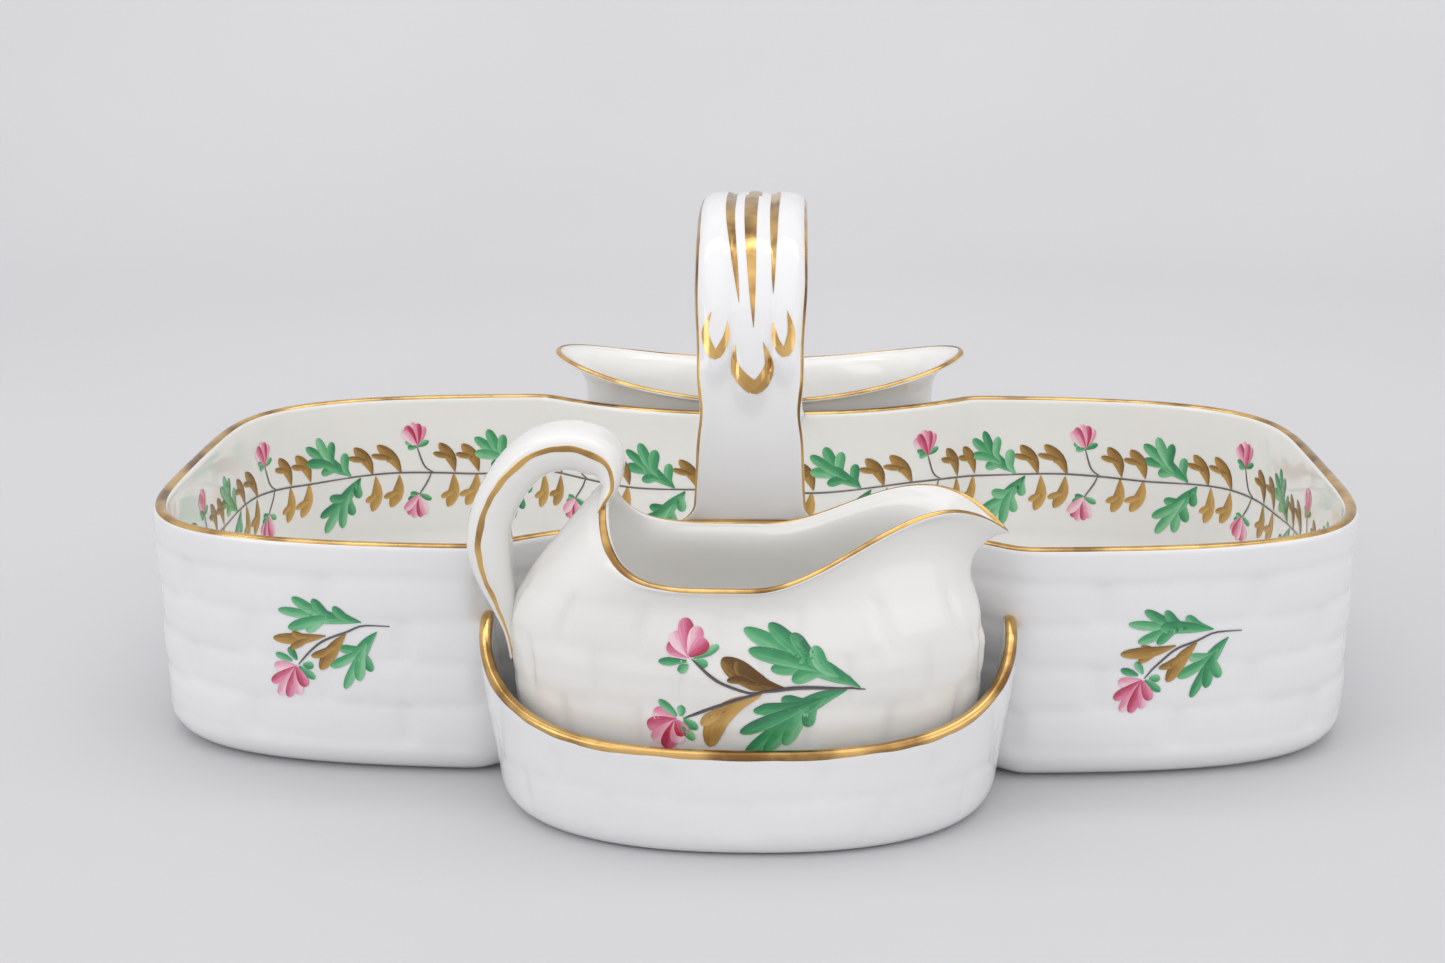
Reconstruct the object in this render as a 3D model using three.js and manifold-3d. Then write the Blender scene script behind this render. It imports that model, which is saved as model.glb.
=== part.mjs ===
// A porcelain set: one basket-shaped tray that carries a boat-shaped cream jug in its front pocket and
// a sugar bowl in its rear pocket. Millimetres, +Z up, +X along the tray, -Y towards the jug.
// The origin is the middle of the tray's underside.
import * as THREE from 'three';
import { mergeVertices } from 'three/addons/utils/BufferGeometryUtils.js';
import Module from 'manifold-3d';

// ---- driving dimensions -----------------------------------------------------------------------
const TRAY_LENGTH = 300;
const TRAY_WIDTH = 158;
const TRAY_HEIGHT = 57.8;
const TRAY_SQUARENESS = 4.4; // superellipse power of the two lobes: 2 is an oval, more is squarer
const TRAY_WALL = 4.2;
const TRAY_WALL_LEAN = 0.7; // how far the wall leans out between its foot and its rim
const TRAY_FLOOR = 5;
const TRAY_FOOT_RADIUS = 8; // rounding between the underside and the wall
const TRAY_COVE_RADIUS = 16; // rounding between the inner wall and the floor
const WAIST_HALF_LENGTH = 62; // the pockets' share of the tray's length, to each side of the middle
const WAIST_HALF_WIDTH = 57; // the tray's half width at the middle of that recess
const WAIST_POWER = 2.4; // how flat the recess is in its middle

const SET_HALF_DEPTH = 121.5; // middle of the tray to the front of a pocket
const POCKET_HALF_LENGTH = 56.5;
const POCKET_HALF_WIDTH = 43; // from its open side, at the tray's kinks, to its front
const POCKET_POWER = 2.3;
const POCKET_FLARE = 5.5; // how much longer a pocket gets where its rim climbs the tray wall
const POCKET_RIM_LOW = 25; // rim height at the front of a pocket
const POCKET_RIM_HIGH = 41.5; // rim height where it meets the tray wall
const POCKET_RIM_POWER = 1.7;
const POCKET_WALL = 3.2;
const POCKET_FLOOR = 4.5;

const VESSEL_OFFSET = 88; // middle of the tray to the middle of the jug or the bowl
const VESSEL_BELLY = { halfLength: 54, halfWidth: 28, height: 38, power: 2 };
const VESSEL_FOOT_SCALE = 0.74; // foot outline as a share of the belly outline
const VESSEL_WALL = 3;
const VESSEL_FLOOR = 4;
const NECK_DEPTH_LENGTHWISE = 7.2; // how far a flared end is drawn in below its rim
const NECK_DEPTH_ACROSS = 2;

const JUG_RIM = { spout: 58.6, back: 32.5, halfWidth: 26.8, low: 58.9, spoutPower: 1.3, backPower: 4.5 };
const JUG_SPOUT_RISE = 13.9;
const JUG_SPOUT_RISE_START = 5;
const JUG_SPOUT_CREST = 44; // where the spout's sides are highest, along the length
const JUG_LIP_DROP = 7.2;
const JUG_BACK_RISE = 17;
const JUG_BACK_RISE_POWER = 2.4;
const BOWL_RIM = { halfLength: 61.4, halfWidth: 30.2, low: 60.5, endRise: 9, power: 2.1 };

const ARCH_TOP = 128;
const ARCH_THICKNESS = 7;
const ARCH_HALF_WIDTH = 12.9;
const ARCH_FOOT_FLARE = 1.8;
const ARCH_POWER = 2.4; // 2 is a half oval, more has squarer shoulders

const JOINT_GAP = 0.3; // between two pieces that are joined with slip, and under a vessel's foot

// ---- finishes ---------------------------------------------------------------------------------
const PORCELAIN = { color: 0xe9e9ea, roughness: 0.15, metalness: 0 };
const CREAM_PORCELAIN = { color: 0xece9e2, roughness: 0.15, metalness: 0 };

// ---- helpers ----------------------------------------------------------------------------------
const wasm = await Module();
wasm.setup();

const signedPower = (value, power) => Math.sign(value) * Math.abs(value) ** power;
const mix = (from, to, share) => from + (to - from) * share;

function smoothStep(start, end, value) {
  const t = THREE.MathUtils.clamp((value - start) / (end - start), 0, 1);
  return t * t * (3 - 2 * t);
}

// Skins a stack of rings, each running anticlockwise about the stack's direction, and closes both ends.
function loft(rings) {
  const count = rings[0].length;
  const middles = [rings[0], rings[rings.length - 1]].map((ring) => {
    const middle = new THREE.Vector3();
    ring.forEach((point) => middle.addScaledVector(point, 1 / count));
    return middle;
  });
  const points = [...rings.flat(), ...middles];
  const firstMiddle = points.length - 2;
  const lastMiddle = points.length - 1;
  const lastRing = (rings.length - 1) * count;
  const index = [];
  for (let i = 0; i < count; i += 1) {
    const next = (i + 1) % count;
    for (let base = 0; base < lastRing; base += count) {
      index.push(base + i, base + next, base + count + next);
      index.push(base + i, base + count + next, base + count + i);
    }
    index.push(firstMiddle, next, i);
    index.push(lastMiddle, lastRing + i, lastRing + next);
  }
  const geometry = new THREE.BufferGeometry().setFromPoints(points);
  geometry.setIndex(index);
  return geometry;
}

function toSolid(geometry) {
  const bare = geometry.clone();
  bare.deleteAttribute('normal');
  bare.deleteAttribute('uv');
  const merged = mergeVertices(bare, 1e-4);
  return new wasm.Manifold(new wasm.Mesh({
    numProp: 3,
    vertProperties: new Float32Array(merged.attributes.position.array),
    triVerts: new Uint32Array(merged.index.array),
  }));
}

function toGeometry(solid) {
  const mesh = solid.getMesh();
  const geometry = new THREE.BufferGeometry();
  geometry.setAttribute('position', new THREE.BufferAttribute(mesh.vertProperties, 3));
  geometry.setIndex(new THREE.BufferAttribute(mesh.triVerts, 1));
  return geometry;
}

function cut(geometry, tool) {
  return toGeometry(toSolid(geometry).subtract(toSolid(tool)));
}

function makePart(name, geometry, finish) {
  geometry.computeVertexNormals();
  const part = new THREE.Mesh(geometry, new THREE.MeshStandardMaterial(finish));
  part.name = name;
  return part;
}

// ---- tray -------------------------------------------------------------------------------------
// The outline runs anticlockwise: right lobe, rear recess, left lobe, front recess. Each point also
// holds the direction to its inside, long enough at a corner to keep an inset's walls parallel.
function trayOutline() {
  const LOBE_STEPS = 30;
  const WAIST_STEPS = 12;
  const halfLength = TRAY_LENGTH / 2;
  const halfWidth = TRAY_WIDTH / 2;
  const lobeEnd = Math.acos((WAIST_HALF_LENGTH / halfLength) ** (TRAY_SQUARENESS / 2));
  const cornerY = halfWidth * Math.sin(lobeEnd) ** (2 / TRAY_SQUARENESS);
  const half = [];
  for (let i = 0; i <= LOBE_STEPS; i += 1) {
    const angle = mix(-lobeEnd, lobeEnd, i / LOBE_STEPS);
    half.push(new THREE.Vector2(
      halfLength * signedPower(Math.cos(angle), 2 / TRAY_SQUARENESS),
      halfWidth * signedPower(Math.sin(angle), 2 / TRAY_SQUARENESS),
    ));
  }
  for (let i = 1; i < WAIST_STEPS; i += 1) {
    const along = 1 - (2 * i) / WAIST_STEPS;
    const depth = Math.abs(along) ** WAIST_POWER;
    half.push(new THREE.Vector2(along * WAIST_HALF_LENGTH, mix(WAIST_HALF_WIDTH, cornerY, depth)));
  }
  const points = [...half, ...half.map((point) => point.clone().negate())];
  return points.map((point, i) => {
    const before = points[(i + points.length - 1) % points.length];
    const after = points[(i + 1) % points.length];
    const inBefore = point.clone().sub(before).normalize();
    const inAfter = after.clone().sub(point).normalize();
    const along = inBefore.clone().add(inAfter).normalize();
    const inward = new THREE.Vector2(-along.y, along.x);
    return { point, inward: inward.divideScalar(Math.max(along.dot(inBefore), 0.5)) };
  });
}

const TRAY_OUTLINE = trayOutline();

function trayRing(inset, z) {
  return TRAY_OUTLINE.map(({ point, inward }) => (
    new THREE.Vector3(point.x + inward.x * inset, point.y + inward.y * inset, z)
  ));
}

// Insets and heights round a quarter circle, from its lower end to its upper end.
function cove(inset, z, radius, steps) {
  const list = [];
  for (let i = 0; i <= steps; i += 1) {
    const angle = (Math.PI / 2) * (i / steps);
    list.push([inset + radius * (1 - Math.sin(angle)), z + radius * (1 - Math.cos(angle))]);
  }
  return list;
}

function trayOutside(grow) {
  const shoulder = TRAY_HEIGHT - TRAY_WALL / 2;
  const profile = [...cove(TRAY_WALL_LEAN - grow, -grow, TRAY_FOOT_RADIUS, 3), [-grow, shoulder]];
  return profile.map(([inset, z]) => trayRing(inset, z));
}

function trayGeometry() {
  const lip = TRAY_HEIGHT - 0.6;
  const rim = [[TRAY_WALL * 0.15, lip], [TRAY_WALL / 2, TRAY_HEIGHT], [TRAY_WALL * 0.85, lip]];
  const cavity = cove(TRAY_WALL + TRAY_WALL_LEAN, TRAY_FLOOR, TRAY_COVE_RADIUS, 4).reverse();
  const inside = [[TRAY_WALL, TRAY_HEIGHT - TRAY_WALL / 2], ...cavity];
  return loft([...trayOutside(0), ...[...rim, ...inside].map(([inset, z]) => trayRing(inset, z))]);
}

// The tray's outside as a plain block, a joint gap larger all round, for trimming what is joined to it.
function trayBlock() {
  return loft([...trayOutside(JOINT_GAP), trayRing(-JOINT_GAP, TRAY_HEIGHT + JOINT_GAP)]);
}

// ---- pockets ----------------------------------------------------------------------------------
// A pocket is an oval trough whose rim dips towards its front. share runs up the wall from 0 to 1 and
// rise is added to it in millimetres.
function pocketRing(inset, share, rise) {
  const STEPS = 64;
  const middleY = POCKET_HALF_WIDTH - SET_HALF_DEPTH;
  const ring = [];
  for (let i = 0; i < STEPS; i += 1) {
    const angle = (2 * Math.PI * i) / STEPS;
    const climb = Math.min(1, 1 + Math.sin(angle)) ** POCKET_RIM_POWER;
    const z = share * mix(POCKET_RIM_LOW, POCKET_RIM_HIGH, climb) + rise;
    const halfLength = POCKET_HALF_LENGTH + POCKET_FLARE * smoothStep(15, POCKET_RIM_HIGH, z);
    const halfWidth = POCKET_HALF_WIDTH - inset;
    const point = oval(angle, halfLength - inset, halfWidth, 2 / POCKET_POWER, 2 / POCKET_POWER);
    ring.push(point.set(point.x, point.y + middleY, z));
  }
  return ring;
}

function frontPocketGeometry() {
  const inner = POCKET_WALL;
  const rings = [
    [3.4, 0, 0],
    [1, 0, 0.9],
    [0.2, 0, 3.4],
    [0, 0.5, 0],
    [0.2, 1, -4.2],
    [0, 1, -2.4],
    [inner * 0.2, 1, -0.6],
    [inner * 0.5, 1, 0],
    [inner * 0.85, 1, -0.6],
    [inner, 1, -2.4],
    [inner, 0.5, 0],
    [inner + 1.6, 0, POCKET_FLOOR + 3],
    [inner + 6, 0, POCKET_FLOOR],
  ];
  return cut(loft(rings.map((ring) => pocketRing(...ring))), trayBlock());
}

// ---- jug and bowl -----------------------------------------------------------------------------
// Each vessel's wall is drawn by a point at an angle round it (0 towards +X) and a level: below the
// belly the level is a height, above it a share of the way from the belly up to the rim.
function footShare(z) {
  const climb = (z - POCKET_FLOOR - JOINT_GAP) / (VESSEL_BELLY.height - POCKET_FLOOR - JOINT_GAP);
  return mix(VESSEL_FOOT_SCALE, 1, Math.sqrt(1 - (1 - THREE.MathUtils.clamp(climb, 0, 1)) ** 2));
}

const oval = (angle, halfLength, halfWidth, xPower, yPower) => new THREE.Vector3(
  halfLength * signedPower(Math.cos(angle), xPower),
  halfWidth * signedPower(Math.sin(angle), yPower),
  0,
);

function jugRim(angle) {
  const forward = Math.cos(angle) >= 0;
  const power = 2 / (forward ? JUG_RIM.spoutPower : JUG_RIM.backPower);
  const point = oval(angle, forward ? JUG_RIM.spout : JUG_RIM.back, JUG_RIM.halfWidth, power, power);
  const backTurn = Math.max(0, Math.abs(Math.atan2(Math.sin(angle), Math.cos(angle))) / (Math.PI / 2) - 1);
  const lip = Math.max(0, (point.x - JUG_SPOUT_CREST) / (JUG_RIM.spout - JUG_SPOUT_CREST));
  point.z = JUG_RIM.low + JUG_SPOUT_RISE * smoothStep(JUG_SPOUT_RISE_START, JUG_SPOUT_CREST, point.x)
    - JUG_LIP_DROP * lip ** 2 + JUG_BACK_RISE * backTurn ** JUG_BACK_RISE_POWER;
  return { point, power, neck: forward ? NECK_DEPTH_LENGTHWISE : 0 };
}

function bowlRim(angle) {
  const power = 2 / BOWL_RIM.power;
  const point = oval(angle, BOWL_RIM.halfLength, BOWL_RIM.halfWidth, power, power);
  point.z = BOWL_RIM.low + BOWL_RIM.endRise * (point.x / BOWL_RIM.halfLength) ** 2;
  return { point, power, neck: NECK_DEPTH_LENGTHWISE };
}

function bellyPoint(angle, inset, z) {
  const share = footShare(z);
  const power = 2 / VESSEL_BELLY.power;
  const { halfLength, halfWidth } = VESSEL_BELLY;
  return oval(angle, halfLength * share - inset, halfWidth * share - inset, power, power).setZ(z);
}

function shoulderPoint(rimAt, angle, inset, share) {
  const rim = rimAt(angle);
  const turn = smoothStep(0.15, 0.95, share);
  const neck = Math.sin(Math.PI * share ** 2.2);
  const power = mix(2 / VESSEL_BELLY.power, rim.power, turn);
  const rimLength = Math.abs(rimAt(Math.cos(angle) >= 0 ? 0 : Math.PI).point.x);
  const rimWidth = rimAt(Math.PI / 2).point.y;
  const halfLength = mix(VESSEL_BELLY.halfLength, rimLength, turn) - rim.neck * neck;
  const halfWidth = mix(VESSEL_BELLY.halfWidth, rimWidth, turn) - NECK_DEPTH_ACROSS * neck;
  const point = oval(angle, halfLength - inset, halfWidth - inset, power, power);
  return point.setZ(mix(VESSEL_BELLY.height, rim.point.z, share));
}

function vesselRing(pointAt) {
  const STEPS = 56;
  return Array.from({ length: STEPS }, (unused, i) => pointAt((2 * Math.PI * i) / STEPS));
}

function vesselOutside(rimAt, grow) {
  const foot = POCKET_FLOOR + JOINT_GAP;
  const low = [[2.2, foot - grow], [0.3, foot + 1.6], [0, 14], [0, 25], [0, VESSEL_BELLY.height]];
  const high = [0.2, 0.4, 0.55, 0.7, 0.85];
  return [
    ...low.map(([inset, z]) => vesselRing((angle) => bellyPoint(angle, inset - grow, z))),
    ...high.map((share) => vesselRing((angle) => shoulderPoint(rimAt, angle, -grow, share))),
  ];
}

function vesselGeometry(rimAt) {
  const wall = VESSEL_WALL;
  const lip = [[0.1, 0.96], [wall * 0.35, 1], [wall * 0.8, 0.985]];
  const high = [0.85, 0.7, 0.5, 0.25];
  const floor = POCKET_FLOOR + JOINT_GAP + VESSEL_FLOOR;
  const low = [[wall, 32], [wall, 20], [wall + 1.5, floor + 3.5], [wall + 6, floor]];
  return loft([
    ...vesselOutside(rimAt, 0),
    ...lip.map(([inset, share]) => vesselRing((angle) => shoulderPoint(rimAt, angle, inset, share))),
    ...high.map((share) => vesselRing((angle) => shoulderPoint(rimAt, angle, wall, share))),
    ...low.map(([inset, z]) => vesselRing((angle) => bellyPoint(angle, inset, z))),
  ]);
}

// The jug's outside as a plain block, a joint gap larger all round, for trimming its handle.
function jugBlock() {
  const top = [-JOINT_GAP, VESSEL_WALL].map((inset) => vesselRing((angle) => {
    const point = shoulderPoint(jugRim, angle, inset, 1);
    return point.setZ(point.z + JOINT_GAP);
  }));
  return loft([...vesselOutside(jugRim, JOINT_GAP), ...top]);
}

// ---- handles ----------------------------------------------------------------------------------
// Sweeps a section along a path in the upright plane that holds `across` as its normal. section(share)
// gives [outward, sideways] pairs, anticlockwise looking back along the path.
function sweep(path, across, section, steps) {
  const rings = [];
  for (let i = 0; i <= steps; i += 1) {
    const share = i / steps;
    const middle = path.getPoint(share);
    const outward = new THREE.Vector3().crossVectors(across, path.getTangent(share)).normalize();
    rings.push(section(share).map(([out, side]) => (
      middle.clone().addScaledVector(outward, out).addScaledVector(across, side)
    )));
  }
  return loft(rings);
}

function roundedStrap(thickness, width, squareness, outerShare) {
  const STEPS = 16;
  return Array.from({ length: STEPS }, (unused, i) => {
    const angle = (2 * Math.PI * i) / STEPS;
    const out = signedPower(Math.cos(angle), 2 / squareness);
    const side = signedPower(Math.sin(angle), 2 / squareness);
    return [(thickness / 2) * out, (width / 2) * side * (1 + outerShare * out)];
  });
}

// The arch stands on the middles of the two recessed walls and crosses over the tray.
class ArchPath extends THREE.Curve {
  getPoint(share, target = new THREE.Vector3()) {
    const angle = Math.PI * share;
    const reach = WAIST_HALF_WIDTH - 0.4 - ARCH_THICKNESS / 2;
    const foot = TRAY_HEIGHT + JOINT_GAP;
    const rise = ARCH_TOP - ARCH_THICKNESS / 2 - foot;
    const y = -reach * signedPower(Math.cos(angle), 2 / ARCH_POWER);
    const z = foot + rise * Math.max(0, Math.sin(angle)) ** (2 / ARCH_POWER);
    return target.set(0, y, z);
  }

  getTangent(share, target = new THREE.Vector3()) {
    if (share === 0 || share === 1) return target.set(0, 0, share === 0 ? 1 : -1);
    return super.getTangent(share, target);
  }
}

function overheadHandleGeometry() {
  const section = (share) => {
    const flare = (1 - Math.sin(Math.PI * share)) ** 4;
    const halfWidth = ARCH_HALF_WIDTH + ARCH_FOOT_FLARE * flare;
    return roundedStrap(ARCH_THICKNESS, 2 * halfWidth, 3.5, 0);
  };
  return sweep(new ArchPath(), new THREE.Vector3(-1, 0, 0), section, 30);
}

// The jug's handle springs from the back of the rim, loops over and ends against the belly.
function jugHandleGeometry() {
  const route = [[-29.8, 69], [-29.6, 76], [-32.2, 81.8], [-39.5, 84.2], [-47.5, 81.9], [-54, 74.8],
    [-57.5, 66], [-57.5, 57], [-56.1, 49], [-54.6, 42], [-53.7, 35]];
  const path = new THREE.CatmullRomCurve3(
    route.map(([x, z]) => new THREE.Vector3(x, -VESSEL_OFFSET, z)),
    false,
    'centripetal',
  );
  const section = (share) => {
    const tail = smoothStep(0.65, 1, share);
    const root = 1 - smoothStep(0, 0.25, share);
    const thickness = mix(mix(10, 6, root), 3, tail);
    return roundedStrap(thickness, mix(18, 7, tail), 2.6, 0.2);
  };
  return cut(sweep(path, new THREE.Vector3(0, -1, 0), section, 26), placed(jugBlock(), -VESSEL_OFFSET));
}

// ---- the set ----------------------------------------------------------------------------------
function placed(geometry, y) {
  return geometry.translate(0, y, 0);
}

const basketSet = new THREE.Group();

const frontPocket = makePart('front_pocket', frontPocketGeometry(), PORCELAIN);
const rearPocket = makePart('rear_pocket', frontPocketGeometry(), PORCELAIN);
rearPocket.rotation.z = Math.PI;

basketSet.add(
  makePart('basket_tray', trayGeometry(), PORCELAIN),
  frontPocket,
  rearPocket,
  makePart('overhead_handle', overheadHandleGeometry(), PORCELAIN),
  makePart('jug_body', placed(vesselGeometry(jugRim), -VESSEL_OFFSET), CREAM_PORCELAIN),
  makePart('jug_handle', jugHandleGeometry(), CREAM_PORCELAIN),
  makePart('sugar_bowl', placed(vesselGeometry(bowlRim), VESSEL_OFFSET), CREAM_PORCELAIN),
);

export default basketSet;
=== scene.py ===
# %% [markdown]
# # A porcelain basket set with a boat-shaped cream jug
# The tray, its two pockets, the overhead handle, the jug and the sugar bowl are cast porcelain. They are
# decorated by hand with enamel flowers and leaves and with burnished gold lines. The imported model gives
# every place and size; here each part gets its fine surface, its paint and its gilding.

# %% Load the frame
import math
import random

import bpy
import numpy as np
from mathutils import Euler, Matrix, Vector
from mathutils.bvhtree import BVHTree


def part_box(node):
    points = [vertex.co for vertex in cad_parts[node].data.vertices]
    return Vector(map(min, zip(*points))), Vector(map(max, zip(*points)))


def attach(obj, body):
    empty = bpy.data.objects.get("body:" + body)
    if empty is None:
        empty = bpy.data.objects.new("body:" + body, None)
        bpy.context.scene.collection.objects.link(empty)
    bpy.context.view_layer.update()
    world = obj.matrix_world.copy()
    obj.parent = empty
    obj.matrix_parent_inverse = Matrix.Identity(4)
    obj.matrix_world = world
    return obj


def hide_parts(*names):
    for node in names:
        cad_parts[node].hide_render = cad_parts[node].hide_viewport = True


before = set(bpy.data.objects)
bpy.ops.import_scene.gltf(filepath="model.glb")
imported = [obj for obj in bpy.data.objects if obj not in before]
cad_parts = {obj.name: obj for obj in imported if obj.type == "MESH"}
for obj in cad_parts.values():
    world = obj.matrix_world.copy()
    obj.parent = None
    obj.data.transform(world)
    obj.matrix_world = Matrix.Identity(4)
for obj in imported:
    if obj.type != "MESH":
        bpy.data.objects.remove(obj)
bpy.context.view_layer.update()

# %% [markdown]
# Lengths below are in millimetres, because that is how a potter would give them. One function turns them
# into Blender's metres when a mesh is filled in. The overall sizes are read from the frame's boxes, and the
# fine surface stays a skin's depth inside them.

MM = 0.001
SKIN = 0.12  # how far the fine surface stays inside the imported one, to leave room for gold and enamel


def box_in_mm(node):
    low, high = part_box(node)
    return np.array(low) / MM, np.array(high) / MM


_, tray_high = box_in_mm("basket_tray")
pocket_low, _ = box_in_mm("front_pocket")
_, arch_high = box_in_mm("overhead_handle")
jug_low, jug_high = box_in_mm("jug_body")

TRAY_HALF_LENGTH = tray_high[0] - SKIN
TRAY_HALF_WIDTH = 79 - SKIN  # the lobes' full half width; the recesses cut their flat sides short
TRAY_HEIGHT = tray_high[2]
SET_HALF_DEPTH = -pocket_low[1] - SKIN
ARCH_TOP = arch_high[2] - SKIN
VESSEL_OFFSET = -(jug_low[1] + jug_high[1]) / 2
FOOT_HEIGHT = jug_low[2]
print("tray", 2 * TRAY_HALF_LENGTH, "long; vessels stand", VESSEL_OFFSET, "from the middle")


# %% [markdown]
# ## Helpers
# Cast porcelain has no straight edges, so most of its walls are drawn as a stack of rings. Each ring is a
# closed loop of points at one height. A circle primitive gives the first ring, extruding it gives the
# others, and then every point is put in its place by a formula. Doing the extrusions first and the placing
# last keeps the code short, and nearly all the faces are quads.

# %% Numbers and curves
def mix(start, end, share):
    return start + (end - start) * share


def smooth_step(start, end, value):
    t = np.clip((value - start) / (end - start), 0, 1)
    return t * t * (3 - 2 * t)


def signed_power(value, power):
    return np.sign(value) * np.abs(value) ** power


def spread_evenly(points, count):
    """The same open line with `count` points an equal way apart. The last point is left out."""
    steps = np.linalg.norm(np.diff(points, axis=0), axis=1)
    along = np.concatenate([[0], np.cumsum(steps)])
    wanted = np.linspace(0, along[-1], count, endpoint=False)
    return np.column_stack([np.interp(wanted, along, points[:, axis]) for axis in range(points.shape[1])])


def start_clean():
    if bpy.context.object and bpy.context.object.mode != "OBJECT":
        bpy.ops.object.mode_set(mode="OBJECT")
    bpy.ops.object.select_all(action="DESELECT")


def place_points(obj, points):
    obj.data.vertices.foreach_set("co", (np.asarray(points, dtype=float) * MM).ravel())
    obj.data.update()


def shade_smooth(obj):
    start_clean()
    obj.select_set(True)
    bpy.context.view_layer.objects.active = obj
    bpy.ops.object.shade_smooth()


def apply_modifier(obj, kind, **settings):
    start_clean()
    obj.select_set(True)
    bpy.context.view_layer.objects.active = obj
    modifier = obj.modifiers.new(kind.title(), kind)
    for name, value in settings.items():
        setattr(modifier, name, value)
    bpy.ops.object.modifier_apply(modifier=modifier.name)


# %% Walls made of rings
def select_points(obj, wanted):
    """Selects the points whose number is in `wanted`, and the edges between them, and enters edit mode."""
    start_clean()
    bpy.context.view_layer.objects.active = obj
    bpy.ops.object.mode_set(mode="EDIT")
    bpy.ops.mesh.select_all(action="DESELECT")
    bpy.ops.object.mode_set(mode="OBJECT")
    for vertex in obj.data.vertices:
        vertex.select = vertex.index in wanted
    for edge in obj.data.edges:
        edge.select = edge.vertices[0] in wanted and edge.vertices[1] in wanted
    bpy.ops.object.mode_set(mode="EDIT")


def raise_wall(name, rings, closed_on_itself=False):
    """Extrudes a circle once for each ring, closes it, and puts every point where its ring says."""
    count = len(rings[0])
    start_clean()
    bpy.ops.mesh.primitive_circle_add(vertices=count)
    obj = bpy.context.object
    obj.name = name
    obj.data.name = name
    bpy.ops.object.mode_set(mode="EDIT")
    bpy.ops.mesh.select_all(action="SELECT")
    for _ in rings[1:]:
        bpy.ops.mesh.extrude_region_move(TRANSFORM_OT_translate={"value": (0, 0, 1)})
    first = range(count)
    last = range(count * (len(rings) - 1), count * len(rings))
    points = list(np.concatenate(rings))
    if closed_on_itself:
        select_points(obj, {*first, *last})
        bpy.ops.mesh.bridge_edge_loops()
    else:
        for end, ring in ((last, rings[-1]), (first, rings[0])):
            select_points(obj, set(end))
            bpy.ops.mesh.edge_face_add()
            bpy.ops.mesh.poke()
            points.append(np.mean(ring, axis=0))
    bpy.ops.object.mode_set(mode="OBJECT")
    place_points(obj, points)
    turn_outwards(obj)
    shade_smooth(obj)
    print(name, len(rings), "rings,", len(obj.data.polygons), "faces")
    return obj


def turn_outwards(obj):
    """Recalculates the normals of one open or closed surface, which has no separate inner shell."""
    start_clean()
    bpy.context.view_layer.objects.active = obj
    bpy.ops.object.mode_set(mode="EDIT")
    bpy.ops.mesh.select_all(action="SELECT")
    bpy.ops.mesh.normals_make_consistent(inside=False)
    bpy.ops.object.mode_set(mode="OBJECT")


# %% [markdown]
# ## Camera, floor and light
# The set stands on a pale sweep: one plane whose far edge is pulled up into a wall, with the fold bevelled
# round so that no horizon shows. Large soft area lights stand above and to both sides, as in a small product
# studio. Glossy glaze shows its lights as reflections, so their size matters more than their strength.

# %% Camera
def add_camera():
    place = Vector((0.0100, -0.5600, 0.2053))  # in metres, as the frame is
    pitch, turn, roll = math.radians(15.3), math.radians(-1.87), math.radians(-0.19)
    start_clean()
    bpy.ops.object.camera_add(location=place, rotation=(math.radians(90) - pitch, 0, -turn))
    camera = bpy.context.object
    camera.rotation_euler = (camera.rotation_euler.to_matrix() @ Euler((0, 0, roll)).to_matrix()).to_euler()
    camera.data.sensor_width = 36
    camera.data.lens = 54.83
    camera.data.clip_start = 0.01
    bpy.context.scene.camera = camera
    return camera


camera = add_camera()
print("camera at", camera.location)

# %% Floor sweep
FLOOR_HALF = 4.0
FOLD_AT = 1.1
SWEEP_HEIGHT = 1.2


def add_sweep():
    start_clean()
    bpy.ops.mesh.primitive_plane_add(size=2 * FLOOR_HALF, location=(0, FOLD_AT - FLOOR_HALF, 0))
    sweep = bpy.context.object
    sweep.name = "floor_sweep"
    bpy.ops.object.transform_apply(location=True)
    for edge in sweep.data.edges:
        edge.select = all(sweep.data.vertices[v].co.y > 0 for v in edge.vertices)
    for face in sweep.data.polygons:
        face.select = False
    for vertex in sweep.data.vertices:
        vertex.select = vertex.co.y > 0
    bpy.ops.object.mode_set(mode="EDIT")
    bpy.ops.mesh.extrude_region_move(TRANSFORM_OT_translate={"value": (0, 0.25, SWEEP_HEIGHT)})
    bpy.ops.object.mode_set(mode="OBJECT")
    apply_modifier(sweep, "BEVEL", width=0.5, segments=24, limit_method="ANGLE")
    shade_smooth(sweep)
    return sweep


floor_sweep = add_sweep()

# %% Lights
def add_light(name, place, target, size, power):
    bpy.ops.object.light_add(type="AREA", location=place)
    light = bpy.context.object
    light.name = name
    light.data.shape = "RECTANGLE"
    light.data.size, light.data.size_y = size
    light.data.energy = power
    light.rotation_euler = (Vector(target) - Vector(place)).to_track_quat("-Z", "Y").to_euler()
    return light


add_light("top_softbox", (0, -0.15, 1.15), (0, 0, 0), (1.3, 1.0), 2.1)
add_light("left_softbox", (-1.0, -0.75, 0.75), (0, 0, 0.05), (0.6, 0.8), 2.4)
add_light("right_softbox", (1.15, -0.75, 0.8), (0, 0, 0.05), (1.1, 1.1), 2.2)
add_light("backdrop_softbox", (0, 0.35, 1.3), (0, 1.2, 0.5), (1.6, 0.5), 4.8)
world = bpy.data.worlds.new("studio")
bpy.context.scene.world = world
world.use_nodes = True
world.node_tree.nodes["Background"].inputs["Color"].default_value = (0.945, 0.94, 0.95, 1)
world.node_tree.nodes["Background"].inputs["Strength"].default_value = 0.88
bpy.context.scene.view_settings.view_transform = "Standard"


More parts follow.
